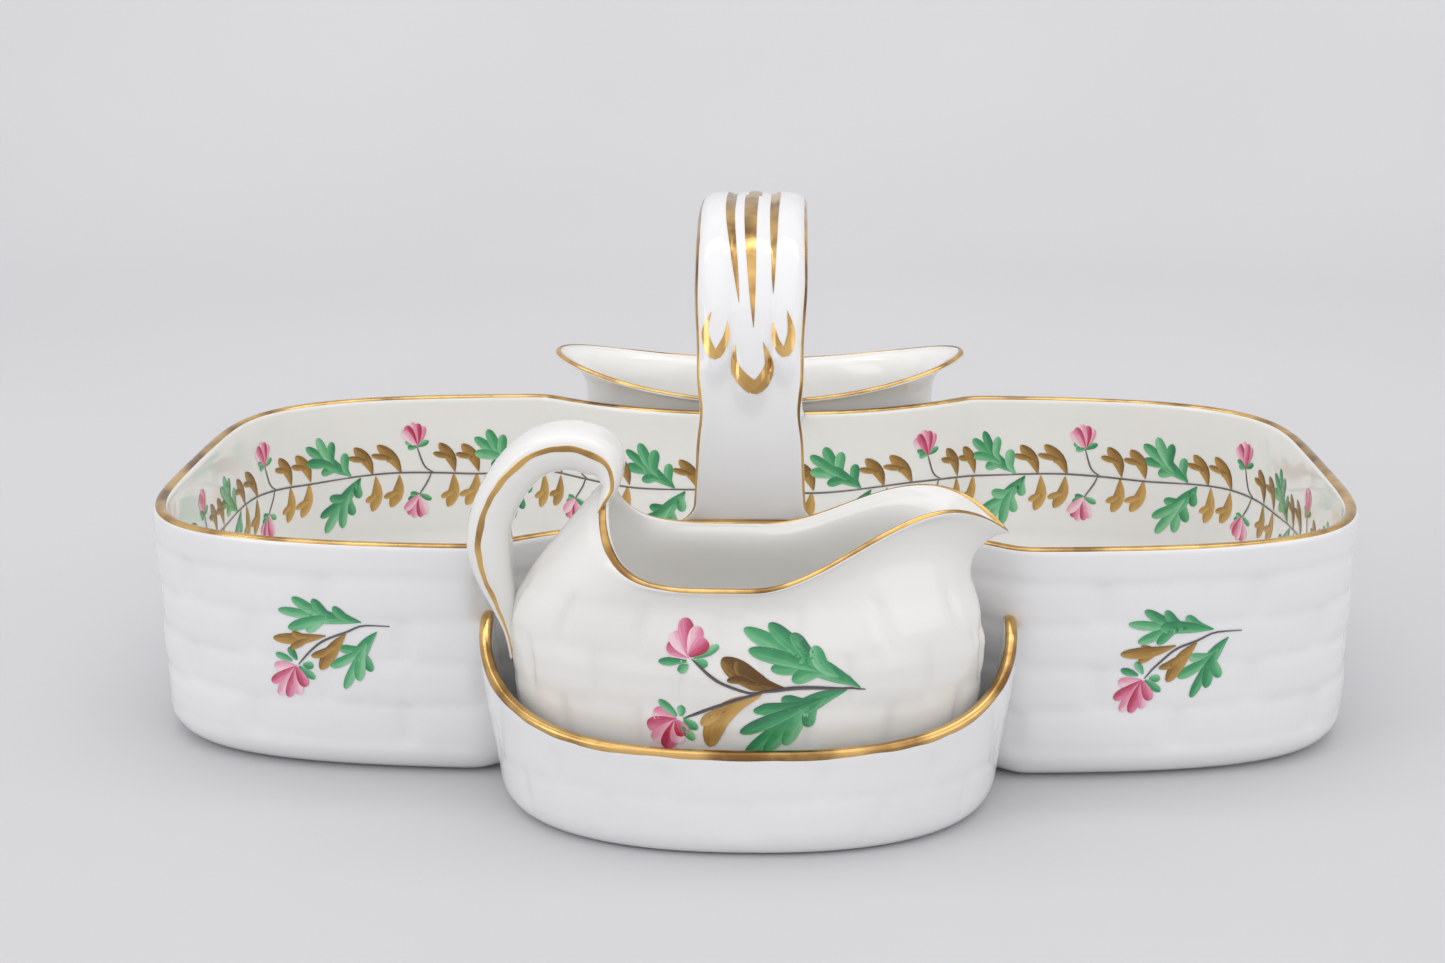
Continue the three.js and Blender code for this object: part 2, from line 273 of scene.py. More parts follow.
# %% [markdown]
# ## Finishes
# Every finish is one material built from nodes. Glaze is never quite flat or quite even: its colour drifts a
# little and its surface has a slow ripple that bends the reflections. Enamel is laid in single brush strokes,
# so its colour follows the stroke, which the UV map gives: U runs from the stroke's root to its tip and V
# across it. A brush is loaded with two tones, so one side of the stroke is darker, and its hairs leave
# streaks. Gold is burnished metal with brush marks; its colour is mottled from deep bronze to bright gold,
# partly thin places in the gold and partly painted reflections.

# %% Node helpers
def new_finish(name):
    material = bpy.data.materials.new(name)
    material.use_nodes = True
    nodes = material.node_tree.nodes
    return material, nodes, material.node_tree.links, nodes["Principled BSDF"]


def add_noise(nodes, links, vector, scale, detail=2.0, stretch=(1, 1, 1)):
    mapping = nodes.new("ShaderNodeMapping")
    mapping.inputs["Scale"].default_value = stretch
    noise = nodes.new("ShaderNodeTexNoise")
    noise.inputs["Scale"].default_value = scale
    noise.inputs["Detail"].default_value = detail
    links.new(vector, mapping.inputs["Vector"])
    links.new(mapping.outputs["Vector"], noise.inputs["Vector"])
    return noise.outputs["Fac"]


def add_ramp(nodes, links, factor, stops):
    ramp = nodes.new("ShaderNodeValToRGB")
    elements = ramp.color_ramp.elements
    elements[0].position, elements[0].color = stops[0][0], (*stops[0][1], 1)
    elements[1].position, elements[1].color = stops[-1][0], (*stops[-1][1], 1)
    for position, color in stops[1:-1]:
        elements.new(position).color = (*color, 1)
    links.new(factor, ramp.inputs["Fac"])
    return ramp.outputs["Color"]


def add_bump(nodes, links, shader, height, strength, distance):
    bump = nodes.new("ShaderNodeBump")
    bump.inputs["Strength"].default_value = strength
    bump.inputs["Distance"].default_value = distance
    links.new(height, bump.inputs["Height"])
    links.new(bump.outputs["Normal"], shader.inputs["Normal"])


def add_sum(nodes, links, *terms):
    """Adds up (socket, weight) pairs."""
    total = None
    for socket, weight in terms:
        scaled = nodes.new("ShaderNodeMath")
        scaled.operation = "MULTIPLY_ADD"
        scaled.inputs[1].default_value = weight
        scaled.inputs[2].default_value = 0
        links.new(socket, scaled.inputs[0])
        if total:
            links.new(total, scaled.inputs[2])
        total = scaled.outputs[0]
    return total


# %% Porcelain
def glazed_porcelain(name, pale, shade):
    material, nodes, links, shader = new_finish(name)
    place = nodes.new("ShaderNodeTexCoord").outputs["Object"]
    drift = add_noise(nodes, links, place, 14, 3)
    links.new(add_ramp(nodes, links, drift, [(0.3, shade), (0.7, pale)]), shader.inputs["Base Color"])
    polish = add_noise(nodes, links, place, 60, 2)
    links.new(add_ramp(nodes, links, polish, [(0.3, (0.07,) * 3), (0.8, (0.14,) * 3)]),
              shader.inputs["Roughness"])
    shader.inputs["IOR"].default_value = 1.52
    shader.inputs["Coat Weight"].default_value = 0.25
    shader.inputs["Coat Roughness"].default_value = 0.04
    ripple = add_noise(nodes, links, place, 45, 1)
    add_bump(nodes, links, shader, ripple, 0.12, 0.0012)
    return material


cool_porcelain = glazed_porcelain("cool_porcelain", (0.86, 0.86, 0.865), (0.82, 0.82, 0.83))
# The warm porcelain covers the jug, its handle and the bowl; on the tray's inside it is painted warm light,
# brighter and warmer than the outside.
warm_porcelain_and_inside_light = glazed_porcelain("warm_porcelain_and_inside_light", (0.875, 0.868, 0.845), (0.84, 0.83, 0.80))


# %% Gold
def burnished_gold(name, bright, deep, rough_low, rough_high):
    material, nodes, links, shader = new_finish(name)
    place = nodes.new("ShaderNodeTexCoord").outputs["Object"]
    # Base colour mottled from deep bronze to bright gold: partly thin places in the gold, partly painted
    # reflections.
    thin_gold_and_painted_reflections = add_noise(nodes, links, place, 70, 3)
    links.new(add_ramp(nodes, links, thin_gold_and_painted_reflections, [(0.36, deep), (0.60, bright)]), shader.inputs["Base Color"])
    rub = add_noise(nodes, links, place, 420, 2)
    links.new(add_ramp(nodes, links, rub, [(0.3, (rough_low,) * 3), (0.7, (rough_high,) * 3)]),
              shader.inputs["Roughness"])
    shader.inputs["Metallic"].default_value = 1
    add_bump(nodes, links, shader, add_noise(nodes, links, place, 900, 2), 0.15, 0.0001)
    return material


line_gold = burnished_gold("line_gold", (0.76, 0.49, 0.18), (0.26, 0.14, 0.05), 0.12, 0.24)


# %% Enamel
def brushed_enamel(name, dark, middle, light, streaks=(1.2, 9, 1), metallic=0.0, rough=0.16):
    material, nodes, links, shader = new_finish(name)
    texture_place = nodes.new("ShaderNodeTexCoord")
    uv = texture_place.outputs["UV"]
    axes = nodes.new("ShaderNodeSeparateXYZ")
    links.new(uv, axes.inputs["Vector"])
    hairs = add_noise(nodes, links, uv, 1.0, 3, streaks)
    pools = add_noise(nodes, links, texture_place.outputs["Object"], 260, 2)
    across = nodes.new("ShaderNodeMath")
    across.operation = "FRACT"
    links.new(axes.outputs["Y"], across.inputs[0])
    tone = nodes.new("ShaderNodeAttribute")
    tone.attribute_name = "tone"
    mixed = add_sum(nodes, links, (across.outputs[0], 0.50), (hairs, 0.75), (pools, 0.35),
                    (tone.outputs["Fac"], 0.55))
    load = rescale(nodes, links, mixed, 0.55, 1.55)
    links.new(add_ramp(nodes, links, load, [(0.05, dark), (0.45, middle), (0.95, light)]),
              shader.inputs["Base Color"])
    shader.inputs["Metallic"].default_value = metallic
    shader.inputs["Roughness"].default_value = rough
    shader.inputs["Coat Weight"].default_value = 0.4
    shader.inputs["Coat Roughness"].default_value = 0.08
    add_bump(nodes, links, shader, hairs, 0.05, 0.0001)
    return material


def rescale(nodes, links, socket, low, high):
    """Maps the span from low to high onto 0 to 1."""
    ranged = nodes.new("ShaderNodeMapRange")
    ranged.inputs["From Min"].default_value = low
    ranged.inputs["From Max"].default_value = high
    links.new(socket, ranged.inputs["Value"])
    return ranged.outputs["Result"]


green_enamel = brushed_enamel("green_enamel", (0.010, 0.155, 0.070), (0.045, 0.34, 0.125),
                              (0.26, 0.60, 0.34))
pink_enamel = brushed_enamel("pink_enamel", (0.46, 0.02, 0.075), (0.75, 0.20, 0.35), (0.93, 0.66, 0.74))
stem_enamel = brushed_enamel("stem_enamel", (0.045, 0.035, 0.035), (0.12, 0.10, 0.10), (0.30, 0.28, 0.28))
leaf_gold = brushed_enamel("leaf_gold", (0.15, 0.075, 0.02), (0.46, 0.26, 0.07), (0.72, 0.45, 0.14),
                           streaks=(1.5, 5, 1), metallic=0.7, rough=0.36)
floor_material, floor_nodes, floor_links, floor_shader = new_finish("floor_paper")
floor_place = floor_nodes.new("ShaderNodeTexCoord").outputs["Object"]
floor_links.new(add_ramp(floor_nodes, floor_links, add_noise(floor_nodes, floor_links, floor_place, 3, 2),
                         [(0.3, (0.60, 0.60, 0.615)), (0.7, (0.625, 0.625, 0.64))]),
                floor_shader.inputs["Base Color"])
floor_shader.inputs["Roughness"].default_value = 0.55
floor_sweep.data.materials.append(floor_material)
print("finishes:", [m.name for m in bpy.data.materials][-7:])


# %% [markdown]
# ## The tray's wall
# Seen from above, the tray is two squarish lobes with a recess between them at the front and at the back.
# The outline is a superellipse for the lobes and a flat curve for the recesses, softened a little where they
# meet, because a plaster mould can't hold a sharp corner. The basketwork is a low relief on the outside: long
# pillows in rows, each row shifted by half a pillow. It is carved inward, so the wall never grows.

# %% Outline of the tray
SQUARENESS = 4.4
WAIST_HALF_LENGTH = 62
WAIST_HALF_WIDTH = 57 - SKIN
WAIST_POWER = 2.4
OUTLINE_POINTS = 480


def soften(ring, times):
    for _ in range(times):
        ring = (np.roll(ring, 1, axis=0) + 2 * ring + np.roll(ring, -1, axis=0)) / 4
    return ring


def corner_y():
    lobe_end = math.acos((WAIST_HALF_LENGTH / TRAY_HALF_LENGTH) ** (SQUARENESS / 2))
    return lobe_end, TRAY_HALF_WIDTH * math.sin(lobe_end) ** (2 / SQUARENESS)


def recess_depth(x):
    depth = np.minimum(np.abs(x) / WAIST_HALF_LENGTH, 1) ** WAIST_POWER
    return mix(WAIST_HALF_WIDTH, corner_y()[1], depth)


def tray_outline():
    lobe_end, _ = corner_y()
    angle = np.linspace(-lobe_end, lobe_end, 900)
    lobe = np.column_stack([TRAY_HALF_LENGTH * signed_power(np.cos(angle), 2 / SQUARENESS),
                            TRAY_HALF_WIDTH * signed_power(np.sin(angle), 2 / SQUARENESS)])
    x = np.linspace(WAIST_HALF_LENGTH, -WAIST_HALF_LENGTH, 300)[1:-1]
    half = np.vstack([lobe, np.column_stack([x, recess_depth(x)])])
    whole = np.vstack([half, -half, half[:1]])
    return soften(spread_evenly(whole, OUTLINE_POINTS), 6)


def ring_normals(ring):
    """Directions in plan that point out of an anticlockwise ring."""
    along = np.roll(ring, -1, axis=0) - np.roll(ring, 1, axis=0)
    along /= np.linalg.norm(along, axis=1)[:, None]
    return np.column_stack([along[:, 1], -along[:, 0]])


def shrink(ring, inset):
    """Moves a ring inward in small steps and relaxes it on the way, so that its corners don't cross."""
    steps = max(1, math.ceil(abs(inset) / 1.5))
    for step in range(steps):
        ring = ring - ring_normals(ring) * inset / steps
        ring = soften(ring, int(max(0, inset * (step + 1) / steps - 4)))
    return ring


outline = tray_outline()
outline_steps = np.linalg.norm(np.roll(outline, -1, axis=0) - outline, axis=1)
outline_along = np.concatenate([[0], np.cumsum(outline_steps)[:-1]])
PERIMETER = outline_steps.sum()
print("tray outline", round(PERIMETER), "mm round")

# %% Basket relief
def basket_relief(along, height, length, row, low, high):
    """How deep the wall is carved, from 0 to 1: seams between pillows, and every second pillow set back."""
    level = (height - low) / row
    shift = np.floor(level) % 2 / 2
    column = along / length + shift
    to_seam = np.minimum(np.mod(column, 1), 1 - np.mod(column, 1)) * length
    to_row = np.minimum(np.mod(level, 1), 1 - np.mod(level, 1)) * row
    seam = np.exp(-(to_seam / (0.07 * length)) ** 2)
    groove = np.exp(-(to_row / (0.17 * row)) ** 2)
    set_back = 0.3 * (np.floor(column) % 2)
    inside = smooth_step(low - 2, low + 2, height) * (1 - smooth_step(high - 3, high + 1, height))
    return inside * (np.maximum(seam, 0.45 * groove) * (1 - set_back) + set_back)


# %% Tray
TRAY_FOOT_RADIUS = 8
TRAY_WALL = 3.5
TRAY_WALL_LEAN = 0.7
TRAY_FLOOR = 5
TRAY_COVE = 15
TRAY_RELIEF = 0.9
PILLOW_LENGTH = PERIMETER / 22
RIM_HIGH = TRAY_HEIGHT - SKIN


def cove(inset, z, radius, steps):
    """Insets and heights round a quarter circle, from its lower end to its upper end."""
    angle = np.linspace(0, math.pi / 2, steps + 1)
    return [(inset + radius * (1 - math.sin(a)), z + radius * (1 - math.cos(a))) for a in angle]


def tray_profile():
    foot = [(24, 1.1), (15, 1.1), (14, 0.9), (12.5, 0.15), (11, 0)]
    outer = cove(TRAY_WALL_LEAN, 0, TRAY_FOOT_RADIUS, 8)
    wall_heights = np.arange(9.2, RIM_HIGH - 2.6, 1.05)
    wall = [(mix(TRAY_WALL_LEAN, 0, (z - 8) / 44), z) for z in wall_heights]
    turn = np.linspace(0, math.pi, 13)
    half = TRAY_WALL / 2
    rim = [(half - half * math.cos(a), RIM_HIGH - half + half * math.sin(a)) for a in turn]
    inner_heights = np.linspace(RIM_HIGH - 5, TRAY_FLOOR + TRAY_COVE + 1, 10)
    inner = [(TRAY_WALL + 0.02 * (RIM_HIGH - z), z) for z in inner_heights]
    bottom = cove(TRAY_WALL + 0.9, TRAY_FLOOR, TRAY_COVE, 9)[::-1]
    floor = [(TRAY_WALL + TRAY_COVE + 6, TRAY_FLOOR)]
    return foot + outer + wall + rim + inner + bottom + floor, len(foot + outer + wall)


def tray_rings():
    profile, rim_start = tray_profile()
    rings = []
    for inset, z in profile:
        ring = shrink(outline, inset)
        if len(rings) < rim_start and z > 5:
            relief = basket_relief(outline_along, np.full(len(outline), z), PILLOW_LENGTH, 10.5, 7.5, 51)
            ring = ring - ring_normals(ring) * (TRAY_RELIEF * relief)[:, None]
        rings.append(np.column_stack([ring, np.full(len(ring), z)]))
    rings += [rings[-1] * [share, share, 1] for share in (0.8, 0.5, 0.2)]
    underside = [rings[0] * [share, share, 1] for share in (0.2, 0.5, 0.8)]
    return underside + rings, rim_start + len(underside)


RIM_RINGS_OUTSIDE = 8  # rings of the rolled rim that still take the outside's cooler porcelain; the rings inside take the warmer, slightly brighter one as painted warm light
tray_grid, tray_rim_start = tray_rings()
tray = raise_wall("tray_porcelain", tray_grid)
tray.data.materials.append(cool_porcelain)
tray.data.materials.append(warm_porcelain_and_inside_light)
# The tray's inside gets the warmer, slightly brighter porcelain: painted warm light in its hollow.
for face in tray.data.polygons:
    ring = min(face.vertices) // OUTLINE_POINTS
    face.material_index = int(ring > tray_rim_start + RIM_RINGS_OUTSIDE)


# %% [markdown]
# ## The pockets
# Each pocket is a shallow trough luted to the recess of the tray. Its section is drawn once and carried round
# the front of the pocket: foot, outer wall, rolled rim, inner wall, floor and underside. The floor reaches
# back into the tray's wall, as the clay does where slip joins it. The rear pocket is a copy, turned round.

# %% Pocket
POCKET_HALF_LENGTH = 56.5 - SKIN
POCKET_HALF_WIDTH = 43 - SKIN
POCKET_POWER = 2.3
POCKET_FLARE = 5.5
POCKET_RIM = (25, 41.5)
POCKET_WALL = 2.9
POCKET_FLOOR = 4.5
POCKET_MIDDLE = 43 - SKIN - SET_HALF_DEPTH
POCKET_REACH = math.radians(9)
POCKET_STATIONS = 170


def pocket_point(angle, inset, share, rise):
    climb = min(1, 1 + math.sin(angle)) ** 1.7
    z = share * (mix(POCKET_RIM[0], POCKET_RIM[1], climb) - SKIN) + rise
    half_length = POCKET_HALF_LENGTH + POCKET_FLARE * smooth_step(-12, POCKET_RIM[1], z)
    past = max(0.0, math.sin(angle)) / math.sin(POCKET_REACH)
    if past > 0:
        x = math.copysign(half_length - inset, math.cos(angle))
        return np.array([x, mix(POCKET_MIDDLE, 1.8 - recess_depth(x), past), z])
    x = (half_length - inset) * signed_power(math.cos(angle), 2 / POCKET_POWER)
    y = POCKET_MIDDLE + (POCKET_HALF_WIDTH - inset) * signed_power(math.sin(angle), 2 / POCKET_POWER)
    return np.array([x, y, z])


def pocket_section(angle):
    points = [pocket_point(angle, inset, 0, z) for inset, z in
              [(5.2, 0), (3.4, 0.25), (2.0, 1.0), (1.0, 2.2), (0.35, 3.9)]]
    half = POCKET_WALL / 2
    top = pocket_point(angle, 0, 1, -half)[2]
    along = POCKET_HALF_LENGTH * (angle - 1.5 * math.pi)
    for z in np.linspace(5.6, top - 0.6, 20):
        pillow = basket_relief(along, z, 27, 9.5, 4, POCKET_RIM[0] - 3)
        points.append(pocket_point(angle, 0.45 * pillow, 0, z))
    rim_from = len(points)
    for turn in np.linspace(0.12, 0.88, 11) * math.pi:
        points.append(pocket_point(angle, half - half * math.cos(turn), 1, -half + half * math.sin(turn)))
    rim_to = len(points)
    for share in np.linspace(0.86, 0.34, 9):
        points.append(pocket_point(angle, POCKET_WALL, share, 0))
    for inset, rise in [(POCKET_WALL + 0.5, 7.5), (POCKET_WALL + 1.8, 5.6), (POCKET_WALL + 5, POCKET_FLOOR)]:
        points.append(pocket_point(angle, inset, 0, rise))
    start = points[-1]
    back = np.array([start[0] * 0.97, -recess_depth(start[0] * 0.97) + 2.5, POCKET_FLOOR])
    points += [mix(start, back, 0.5), back, back - [0, 0, POCKET_FLOOR]]
    points.append(mix(points[-1], points[0], 0.5))
    return np.array(points), rim_from, rim_to


pocket_angles = np.linspace(math.pi - POCKET_REACH, 2 * math.pi + POCKET_REACH, POCKET_STATIONS)
pocket_sections = [pocket_section(angle)[0] for angle in pocket_angles]
_, pocket_rim_from, pocket_rim_to = pocket_section(1.5 * math.pi)
front_pocket = raise_wall("front_pocket_porcelain", pocket_sections)
front_pocket.data.materials.append(cool_porcelain)


# %% Rear pocket
def turned_copy(obj, name):
    copy = obj.copy()
    copy.data = obj.data.copy()
    copy.name = name
    bpy.context.collection.objects.link(copy)
    points = np.empty(3 * len(copy.data.vertices))
    copy.data.vertices.foreach_get("co", points)
    place_points(copy, points.reshape(-1, 3) / MM * [-1, -1, 1])
    return copy


rear_pocket = turned_copy(front_pocket, "rear_pocket_porcelain")


# %% [markdown]
# ## Jug and sugar bowl
# Both vessels have an oval belly, a neck that is drawn in and a rim that flares. The jug's rim climbs to a
# pointed spout at one end and to the handle's root at the other; the bowl's rim dips in its middle. Their
# bellies carry the same basketwork, larger and softer. One function gives a point of the wall for an angle
# round it and a height, and each vessel only brings its own rim line.

# %% Vessel walls
VESSEL_AROUND = 240
BELLY = (54 - SKIN, 28 - SKIN, 38)
FOOT_SCALE = 0.74
VESSEL_WALL = 2.3
VESSEL_FLOOR = 4
NECK_LENGTHWISE = 7.2
NECK_ACROSS = 2
vessel_angles = np.linspace(0, 2 * math.pi, VESSEL_AROUND, endpoint=False)


def oval(angle, half_length, half_width, power):
    return np.column_stack([half_length * signed_power(np.cos(angle), power),
                            half_width * signed_power(np.sin(angle), power)])


def belly_ring(inset, z):
    climb = np.clip((z - FOOT_HEIGHT) / (BELLY[2] - FOOT_HEIGHT), 0, 1)
    share = mix(FOOT_SCALE, 1, math.sqrt(1 - (1 - climb) ** 2))
    ring = oval(vessel_angles, BELLY[0] * share - inset, BELLY[1] * share - inset, 1)
    return np.column_stack([ring, np.full(len(ring), z)])


def shoulder_ring(rim, inset, share, drop=0.0):
    turn = float(smooth_step(0.15, 0.95, share))
    neck = math.sin(math.pi * share ** 2.2)
    length = mix(BELLY[0], rim["length"], turn) - rim["neck"] * neck
    width = mix(BELLY[1], rim["width"], turn) - NECK_ACROSS * neck
    ring = oval(vessel_angles, length - inset, width - inset, mix(1, rim["power"], turn))
    return np.column_stack([ring, mix(BELLY[2], rim["z"], share) - drop])


def vessel_rings(rim, relief):
    rings = [belly_ring(9, FOOT_HEIGHT + 0.8), belly_ring(5, FOOT_HEIGHT + 0.8),
             belly_ring(3.6, FOOT_HEIGHT), belly_ring(2.4, FOOT_HEIGHT), belly_ring(0.9, FOOT_HEIGHT + 0.6)]
    rings += [belly_ring(0.2, z) for z in np.linspace(FOOT_HEIGHT + 1.6, BELLY[2], 24)]
    rings += [shoulder_ring(rim, 0, share) for share in np.linspace(0.06, 0.94, 18)]
    outside = []
    for ring in rings:
        inward = -ring_normals(ring[:, :2])
        steps = np.linalg.norm(np.roll(ring, -1, axis=0) - ring, axis=1)
        along = np.concatenate([[0], np.cumsum(steps)[:-1]])
        length = steps.sum() / 14
        pillow = basket_relief(along + length * 0.25, ring[:, 2], length, 11.5, 9, 56)
        carved = ring.copy()
        carved[:, :2] += inward * (relief * pillow)[:, None]
        outside.append(carved)
    half = VESSEL_WALL / 2
    lip_from = len(outside)
    lip = [shoulder_ring(rim, half - half * math.cos(a), 1, half - half * math.sin(a) + SKIN)
           for a in np.linspace(0.05, 0.95, 9) * math.pi]
    inside = [shoulder_ring(rim, VESSEL_WALL, share) for share in np.linspace(0.93, 0.05, 14)]
    inside += [belly_ring(VESSEL_WALL + 0.2, z) for z in np.linspace(BELLY[2] - 2, 18, 8)]
    low = FOOT_HEIGHT + VESSEL_FLOOR
    inside += [belly_ring(VESSEL_WALL + 1.0, low + 6.5), belly_ring(VESSEL_WALL + 3, low + 2.6),
               belly_ring(VESSEL_WALL + 6, low + 0.7), belly_ring(VESSEL_WALL + 10, low)]
    return outside + lip + inside, lip_from, lip_from + len(lip)


def moved(rings, y):
    return [ring + [0, y, 0] for ring in rings]


# %% Jug body
def jug_rim():
    forward = np.cos(vessel_angles) >= 0
    power = np.where(forward, 2 / 1.3, 2 / 4.5)
    length = np.where(forward, 58.6 - SKIN, 32.5 - SKIN)
    x = length * signed_power(np.cos(vessel_angles), power)
    turn = np.arctan2(np.sin(vessel_angles), np.cos(vessel_angles))
    back_turn = np.maximum(0, np.abs(turn) / (math.pi / 2) - 1)
    lip = np.maximum(0, (x - 44) / (58.6 - 44))
    z = 59.4 + 13.4 * smooth_step(3, 44, x) - 7.2 * lip ** 2 + 16.5 * back_turn ** 2.0
    return {"length": length, "width": 26.8 - SKIN, "power": power, "z": z,
            "neck": np.where(forward, NECK_LENGTHWISE, -4.5)}


jug_rings, jug_lip_from, jug_lip_to = vessel_rings(jug_rim(), 0.85)
jug_rings = moved(jug_rings, -VESSEL_OFFSET)
jug = raise_wall("jug_porcelain", jug_rings)
jug.data.materials.append(warm_porcelain_and_inside_light)


# %% Sugar bowl
def bowl_rim():
    power = 2 / 2.1
    x = (61.4 - SKIN) * signed_power(np.cos(vessel_angles), power)
    return {"length": 61.4 - SKIN, "width": 30.2 - SKIN, "power": power,
            "z": 60.5 + 9 * (x / 61.4) ** 2, "neck": NECK_LENGTHWISE}


bowl_rings, bowl_lip_from, bowl_lip_to = vessel_rings(bowl_rim(), 0.7)
bowl_rings = moved(bowl_rings, VESSEL_OFFSET)
bowl = raise_wall("bowl_porcelain", bowl_rings)
bowl.data.materials.append(warm_porcelain_and_inside_light)


# %% [markdown]
# ## Handles
# Both handles are straps bent along a line. The overhead handle's outer face ends on each side in three
# round lobes like fingertips, and its foot spreads quickly where it meets the rim. The jug's handle has a
# crowned face between two crisp edges, loops over and thins out against the belly. Each is a stack of closed
# sections, one for each step along the line.

# %% Bending a section along a line
def frames_along(path):
    """Directions along a line."""
    along = np.gradient(path, axis=0)
    along /= np.linalg.norm(along, axis=1)[:, None]
    return along


def strap_section(half_thickness, half_width, squareness, count):
    angle = np.linspace(0, 2 * math.pi, count, endpoint=False)
    return np.column_stack([half_thickness * signed_power(np.cos(angle), 2 / squareness),
                            half_width * signed_power(np.sin(angle), 2 / squareness)])


# %% Overhead handle
ARCH_THICKNESS = 7 - 2 * SKIN
ARCH_HALF_WIDTH = 12.9 - SKIN
ARCH_POWER = 2.4
ARCH_FOOT = TRAY_HEIGHT + 0.3
ARCH_STATIONS = 190
ARCH_AROUND = 72
LOBE_SPACING = 8.6
LOBE_TIPS = {-1: 90, 0: 84, 1: 90}  # height where each finger-like lobe ends, left to right


def arch_line():
    share = np.linspace(0, 1, 2000)
    angle = math.pi * share
    reach = 57 - 0.4 - 3.5
    rise = ARCH_TOP + SKIN - 3.5 - ARCH_FOOT
    y = -reach * signed_power(np.cos(angle), 2 / ARCH_POWER)
    z = ARCH_FOOT + rise * np.maximum(0, np.sin(angle)) ** (2 / ARCH_POWER)
    line = np.column_stack([np.zeros_like(y), y, z])
    line = np.vstack([[0, -reach, ARCH_FOOT - 1.2], line, [0, reach, ARCH_FOOT - 1.2]])
    spread = spread_evenly(line, ARCH_STATIONS - 1)
    return np.vstack([spread, line[-1:]])


arch_path = arch_line()
arch_along = frames_along(arch_path)


def outer_carving(x, z):
    """How deep the strap's outer face is carved at one point: grooves between the lobes, and a low middle."""
    depth = 0.0
    lobe = max(-1, min(1, round(x / LOBE_SPACING)))
    off_middle = min(1, abs(x - lobe * LOBE_SPACING) / (LOBE_SPACING / 2))
    tip = LOBE_TIPS[lobe] + 6 * off_middle ** 2
    past_tip = smooth_step(tip - 3, tip + 4, z)
    depth += past_tip * 1.2 * off_middle ** 3
    depth += (1 - past_tip) * 1.9 * (1 - min(1, (abs(x) / 11.8)) ** 4)
    return depth


def arch_section(station):
    z = arch_path[station][2]
    foot = max(0.0, 1 - (z - ARCH_FOOT) / 24)
    spread = 1.6 * foot ** 2 + 2.8 * max(0.0, 1 - (z - ARCH_FOOT) / 3.6) ** 2.4
    crown = 0.9 * smooth_step(96, 112, z)
    spread *= 1 if arch_path[station][1] < 0 else 0.3
    pinch = 0.8 * math.exp(-((z - 83) / 5) ** 2)
    half_width = ARCH_HALF_WIDTH + crown - pinch
    section = strap_section(ARCH_THICKNESS / 2, half_width, 3.4, ARCH_AROUND)
    for point in section:
        outer = max(0.0, point[0]) / ARCH_THICKNESS * 2
        if outer > 0:
            point[0] -= outer_carving(point[1] * ARCH_HALF_WIDTH / half_width, z)
        point[1] *= 1 + spread * mix(0.3, 1, outer) / half_width
    along = arch_along[station]
    outward = np.array([0, -along[2], along[1]])
    return arch_path[station] + section[:, :1] * outward + section[:, 1:] * np.array([1, 0, 0])


arch_rings = [arch_section(station) for station in range(ARCH_STATIONS)]
arch = raise_wall("overhead_handle_porcelain", arch_rings)
arch.data.materials.append(cool_porcelain)

# %% Jug handle
JUG_HANDLE_ROUTE = [(-33.2, 70.5), (-31.6, 73.6), (-30.0, 77.6), (-32.2, 82.0), (-39.5, 84.2), (-47.5, 81.9),
                    (-54, 74.8), (-57.5, 66), (-57.1, 57), (-55.1, 49), (-53.4, 42), (-52.5, 35)]
JUG_HANDLE_STATIONS = 130
JUG_HANDLE_AROUND = 48


def smooth_line(points, count):
    """A Catmull-Rom curve through the points, with `count` even steps."""
    points = np.array(points, dtype=float)
    padded = np.vstack([2 * points[0] - points[1], points, 2 * points[-1] - points[-2]])
    fine = []
    for i in range(len(points) - 1):
        a, b, c, d = padded[i:i + 4]
        t = np.linspace(0, 1, 40, endpoint=False)[:, None]
        fine.append(0.5 * (2 * b + (c - a) * t + (2 * a - 5 * b + 4 * c - d) * t ** 2
                           + (3 * b - a - 3 * c + d) * t ** 3))
    fine = np.vstack([*fine, points[-1:]])
    return np.vstack([spread_evenly(fine, count - 1), fine[-1:]])


def jug_handle_rings():
    flat = smooth_line(JUG_HANDLE_ROUTE, JUG_HANDLE_STATIONS)
    path = np.column_stack([flat[:, 0], np.full(len(flat), -VESSEL_OFFSET), flat[:, 1]])
    along = frames_along(path)
    rings = []
    for station, share in enumerate(np.linspace(0, 1, len(path))):
        tail = float(smooth_step(0.62, 1, share))
        root = 1 - float(smooth_step(0.02, 0.2, share))
        thickness = mix(mix(9.8, 1.9, root), 2.8, tail)
        half_width = mix(8.8 + 2.2 * root ** 1.5, 3.2, tail)
        angle = np.linspace(0, 2 * math.pi, JUG_HANDLE_AROUND, endpoint=False)
        out = signed_power(np.cos(angle), 0.85) * thickness / 2
        side = signed_power(np.sin(angle), 0.62) * half_width * (1 + 0.16 * np.cos(angle))
        outward = np.array([along[station][2], 0, -along[station][0]])
        rings.append(path[station] + out[:, None] * outward + side[:, None] * np.array([0, 1, 0]))
    return rings


handle_rings = jug_handle_rings()
jug_handle = raise_wall("jug_handle_porcelain", handle_rings)
jug_handle.data.materials.append(warm_porcelain_and_inside_light)


# %% [markdown]
# ## Gilding
# Liquid gold is banded onto each rim with a flat brush and fired. It is a film, far too thin to model at its
# real thickness, so each band here is a closed sliver that hugs the wall: the wall's own surface, moved out
# by less than a tenth of a millimetre. The brush wanders, so the band's two edges wave a little.

# %% Gold bands
GOLD_LIFT = 0.07
GOLD_DEPTH = 0.15


